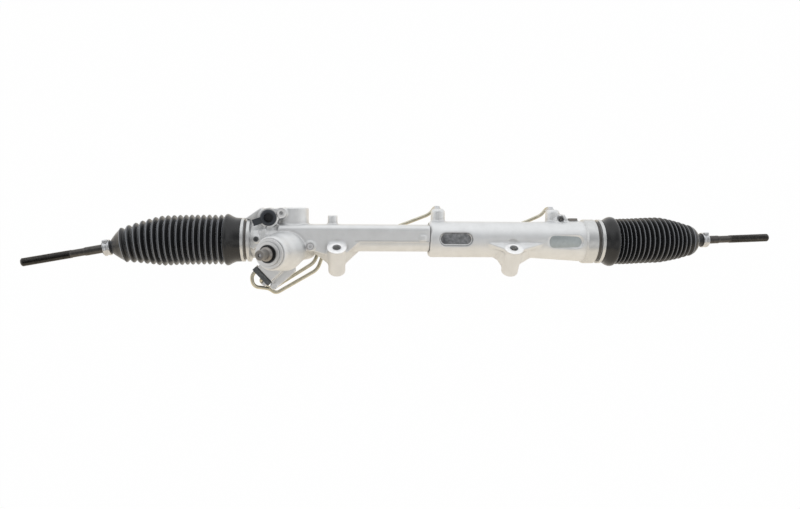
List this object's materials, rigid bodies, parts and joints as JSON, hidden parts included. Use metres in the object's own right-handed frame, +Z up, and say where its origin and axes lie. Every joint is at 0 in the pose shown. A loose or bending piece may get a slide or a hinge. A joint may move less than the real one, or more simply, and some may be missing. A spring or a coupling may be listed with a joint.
{
  "type": "steering rack",
  "caption": "Hydraulic rack-and-pinion steering gear in a cast housing, with a rotary valve, a piston on the rack, ball-jointed tie rods and rubber bellows.",
  "frame": {"origin": "midway between the two mounting bolts, on the undersides of their bosses", "axes": "+X along the rack towards the cylinder's end, +Z up along the mounting bolts, +Y away from the steering column's side"},
  "size_m": [1.3143, 0.1854, 0.1423],
  "materials": {
    "cast_aluminium": "as cast, bead blasted satin",
    "machined_aluminium": "machined",
    "ground_steel": "ground and hardened",
    "turned_steel": "turned, lightly oxidised",
    "spring_steel": "oiled",
    "bearing_steel": "ground",
    "zinc_steel": "bright zinc",
    "pipe_steel": "yellow passivated zinc",
    "black_steel": "black phosphate satin",
    "bellow_rubber": "moulded rubber",
    "seal_rubber": "moulded rubber",
    "filled_ptfe": "bronze filled",
    "acetal": "moulded",
    "black_plastic": "moulded"
  },
  "bodies": {
    "housing": {"valve_housing": "cast_aluminium", "cylinder_housing": "cast_aluminium", "left_rack_bush": "acetal", "inner_rack_seal": "seal_rubber", "rack_end_bush": "machined_aluminium", "outer_rack_seal": "seal_rubber", "end_bush_ring": "seal_rubber", "snap_ring": "spring_steel", "yoke": "machined_aluminium", "yoke_liner": "filled_ptfe", "yoke_spring": "spring_steel", "yoke_plug": "machined_aluminium", "lower_bearing": "bearing_steel", "upper_bearing": "bearing_steel", "input_bearing": "bearing_steel", "bottom_cap": "zinc_steel", "valve_cover": "machined_aluminium", "input_seal": "seal_rubber", "long_pipe": "pipe_steel", "short_pipe": "pipe_steel", "inner_union_nut": "zinc_steel", "outer_union_nut": "zinc_steel", "pipe_flange": "black_steel", "flange_bolt": "zinc_steel", "lug_screw": "zinc_steel", "side_screw": "zinc_steel", "port_plug": "black_plastic", "left_bellow": "bellow_rubber", "right_bellow": "bellow_rubber"},
    "rack": {"rack_bar": "ground_steel", "piston": "turned_steel", "piston_ring": "filled_ptfe", "left_stop_washer": "turned_steel", "right_stop_washer": "turned_steel", "left_ball_housing": "turned_steel", "right_ball_housing": "turned_steel"},
    "pinion": {"pinion_shaft": "ground_steel", "torsion_bar": "ground_steel", "valve_sleeve": "ground_steel", "valve_rings": "filled_ptfe", "pinion_nut": "zinc_steel"},
    "input": {"input_shaft": "turned_steel"},
    "left_seat": {"left_ball_seat": "acetal"},
    "right_seat": {"right_ball_seat": "acetal"},
    "left_rod": {"left_tie_rod": "black_steel", "left_bellow_clamp": "zinc_steel"},
    "right_rod": {"right_tie_rod": "black_steel", "right_bellow_clamp": "zinc_steel"}
  },
  "joints": [
    {"name": "rack_slide", "type": "slide", "parent": "housing", "child": "rack", "axis": [1, 0, 0], "range_m": [-0.056, 0.088], "deforming": ["left_bellow", "right_bellow"]},
    {"name": "pinion_spin", "type": "hinge", "parent": "housing", "child": "pinion", "pos_m": [-0.222, 0.02982, 0.02489], "axis": [-0.3584, -0.7647, 0.5355], "range_deg": [-592, 378]},
    {"name": "input_twist", "type": "hinge", "parent": "pinion", "child": "input", "pos_m": [-0.222, 0.02982, 0.02489], "axis": [-0.3584, -0.7647, 0.5355], "range_deg": [-5, 5], "stiffness_Nm_per_rad": 90},
    {"name": "left_ball_yaw", "type": "hinge", "parent": "rack", "child": "left_seat", "pos_m": [-0.456, 0.039, 0.038], "axis": [0, 0, 1], "range_deg": [-29, 11], "deforming": ["left_bellow"]},
    {"name": "left_ball_pitch", "type": "hinge", "parent": "left_seat", "child": "left_rod", "pos_m": [-0.456, 0.039, 0.038], "axis": [-0.1564, 0.9877, 0], "range_deg": [-14, 26], "deforming": ["left_bellow"]},
    {"name": "right_ball_yaw", "type": "hinge", "parent": "rack", "child": "right_seat", "pos_m": [0.424, 0.039, 0.038], "axis": [0, 0, 1], "range_deg": [-24, 16], "deforming": ["right_bellow"]},
    {"name": "right_ball_pitch", "type": "hinge", "parent": "right_seat", "child": "right_rod", "pos_m": [0.424, 0.039, 0.038], "axis": [-0.0698, 0.9976, 0], "range_deg": [-20, 19], "deforming": ["right_bellow"]}
  ],
  "couplings": [
    {"joint": "pinion_spin", "follows": "rack_slide", "rad_per_m": -116.7}
  ]
}
